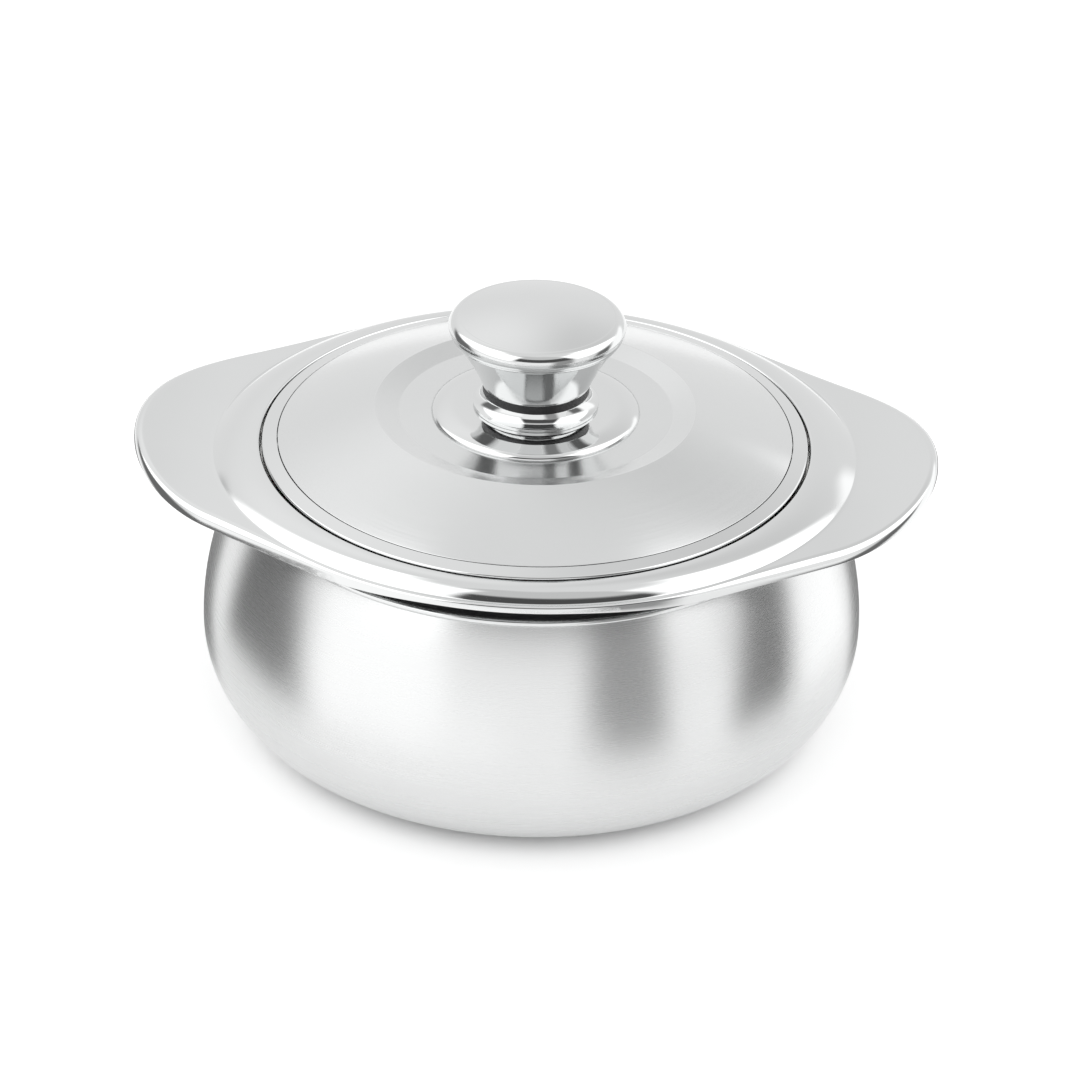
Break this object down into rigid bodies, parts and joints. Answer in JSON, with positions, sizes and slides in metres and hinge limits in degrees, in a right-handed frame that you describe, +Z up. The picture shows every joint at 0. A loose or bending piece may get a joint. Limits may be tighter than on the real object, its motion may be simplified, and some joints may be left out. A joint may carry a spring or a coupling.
{
  "type": "insulated casserole with lift-off lid",
  "caption": "Round double-walled steel serving bowl with an oval handle plate, a recessed domed lid and a flared knob, insulated to keep flatbreads warm.",
  "frame": {"origin": "on the surface the casserole stands on, under the bowl's centre", "axes": "+Z up along the axis that every round piece is turned about, +X towards one ear of the handle plate, +Y across the ears"},
  "size_m": [0.302, 0.2512, 0.167],
  "materials": {
    "satin_steel": "satin stainless steel, finely turned round the axis",
    "polished_steel": "mirror-polished stainless steel",
    "liner_steel": "fine satin stainless steel, turned round the axis",
    "base_steel": "plain rolled stainless steel",
    "insulation_foam": "rigid closed-cell insulation foam",
    "seal_silicone": "translucent white silicone",
    "black_plastic": "black heat-resistant moulding, fine matt",
    "core_plastic": "dark grey moulding",
    "plug_plastic": "soft white moulding",
    "insert_brass": "turned brass",
    "zinc_steel": "bright zinc-plated steel"
  },
  "bodies": {
    "body": {"outer_bowl": "satin_steel", "base_plate": "base_steel", "base_plug": "plug_plastic", "body_foam": "insulation_foam", "inner_bowl": "liner_steel", "handle_plate": "polished_steel", "neck_ring": "polished_steel"},
    "lid_seal": {"lid_gasket": "seal_silicone"},
    "lid": {"lid_cover": "polished_steel", "lid_pan": "polished_steel", "lid_foam": "insulation_foam", "knob_base": "polished_steel", "knob_pedestal": "polished_steel", "knob_spacer": "black_plastic", "knob_cup": "polished_steel", "knob_cap": "polished_steel", "knob_core": "core_plastic", "knob_insert": "insert_brass", "knob_screw": "zinc_steel", "screw_washer": "zinc_steel"}
  },
  "joints": [
    {"name": "lid_lift", "type": "slide", "parent": "body", "child": "lid_seal", "axis": [0, 0, 1], "range_m": [0, 0.12]},
    {"name": "lid_turn", "type": "hinge", "parent": "lid_seal", "child": "lid", "pos_m": [0, 0, 0.114], "axis": [0, 0, 1], "continuous": true}
  ]
}
